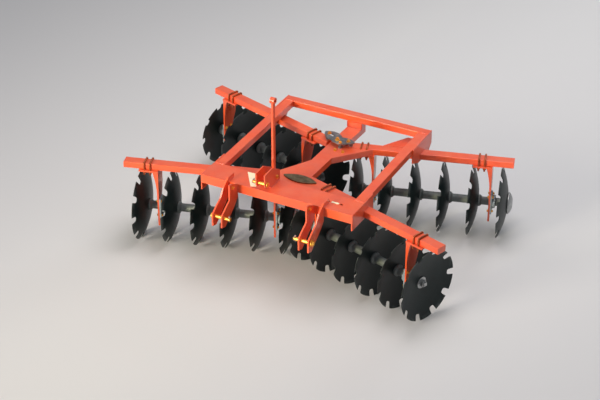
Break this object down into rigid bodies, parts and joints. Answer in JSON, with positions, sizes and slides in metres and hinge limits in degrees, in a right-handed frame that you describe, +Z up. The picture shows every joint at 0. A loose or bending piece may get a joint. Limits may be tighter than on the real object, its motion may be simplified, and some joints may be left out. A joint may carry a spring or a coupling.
{
  "type": "mounted tandem disc harrow",
  "caption": "Tractor-mounted tandem disc harrow: notched dished discs on angled gangs in an X under a rectangular frame, with lower link pins, top link ears and an upright mast.",
  "frame": {"origin": "on the floor under the middle of the machine's bounding box", "axes": "+Z up, -Y towards the tractor's hitch, +X to the right seen from the tractor's side"},
  "size_m": [2.6786, 1.8866, 1.4289],
  "materials": {
    "orange_paint": "gloss",
    "disc_steel": "satin",
    "cast_iron": "matte",
    "housing_iron": "satin",
    "bare_steel": "worn",
    "yellow_zinc": "satin"
  },
  "bodies": {
    "frame": {"side_member_right": "orange_paint", "side_member_left": "orange_paint", "rear_crossbar": "orange_paint", "front_crossbar": "orange_paint", "front_top_plate": "orange_paint", "centre_beam": "orange_paint", "side_plates_front": "orange_paint", "side_plates_rear": "orange_paint", "rear_gusset": "orange_paint", "hitch_plates": "orange_paint", "top_link_ears": "orange_paint", "front_lens_plate": "bare_steel", "rear_lens_plate": "bare_steel", "hitch_pins": "yellow_zinc", "top_link_pin": "yellow_zinc", "mast_bolt": "yellow_zinc", "gang_beam_front_right": "orange_paint", "hangers_front_right": "orange_paint", "housings_front_right": "housing_iron", "clamps_front_right": "orange_paint", "gang_beam_front_left": "orange_paint", "hangers_front_left": "orange_paint", "housings_front_left": "housing_iron", "clamps_front_left": "orange_paint", "gang_beam_rear_right": "orange_paint", "hangers_rear_right": "orange_paint", "housings_rear_right": "housing_iron", "clamps_rear_right": "orange_paint", "gang_beam_rear_left": "orange_paint", "hangers_rear_left": "orange_paint", "housings_rear_left": "housing_iron", "clamps_rear_left": "orange_paint"},
    "mast": {"mast": "orange_paint"},
    "gang_front_right": {"discs_front_right": "disc_steel", "spools_front_right": "cast_iron", "axle_front_right": "bare_steel"},
    "gang_front_left": {"discs_front_left": "disc_steel", "spools_front_left": "cast_iron", "axle_front_left": "bare_steel"},
    "gang_rear_right": {"discs_rear_right": "disc_steel", "spools_rear_right": "cast_iron", "axle_rear_right": "bare_steel"},
    "gang_rear_left": {"discs_rear_left": "disc_steel", "spools_rear_left": "cast_iron", "axle_rear_left": "bare_steel"}
  },
  "joints": [
    {"name": "gang_turn_front_right", "type": "hinge", "parent": "frame", "child": "gang_front_right", "pos_m": [1.217, -0.6533, 0.28], "axis": [0.9563, -0.2924, 0], "continuous": true},
    {"name": "gang_turn_front_left", "type": "hinge", "parent": "frame", "child": "gang_front_left", "pos_m": [-1.217, -0.6533, 0.28], "axis": [-0.9563, -0.2924, 0], "continuous": true},
    {"name": "gang_turn_rear_right", "type": "hinge", "parent": "frame", "child": "gang_rear_right", "pos_m": [1.222, 0.6747, 0.28], "axis": [0.9563, 0.2924, 0], "continuous": true},
    {"name": "gang_turn_rear_left", "type": "hinge", "parent": "frame", "child": "gang_rear_left", "pos_m": [-1.222, 0.6747, 0.28], "axis": [-0.9563, 0.2924, 0], "continuous": true},
    {"name": "mast_fold", "type": "hinge", "parent": "frame", "child": "mast", "pos_m": [-0.0975, -0.5503, 0.777], "axis": [1, 0, 0], "range_deg": [-90, 60]}
  ]
}
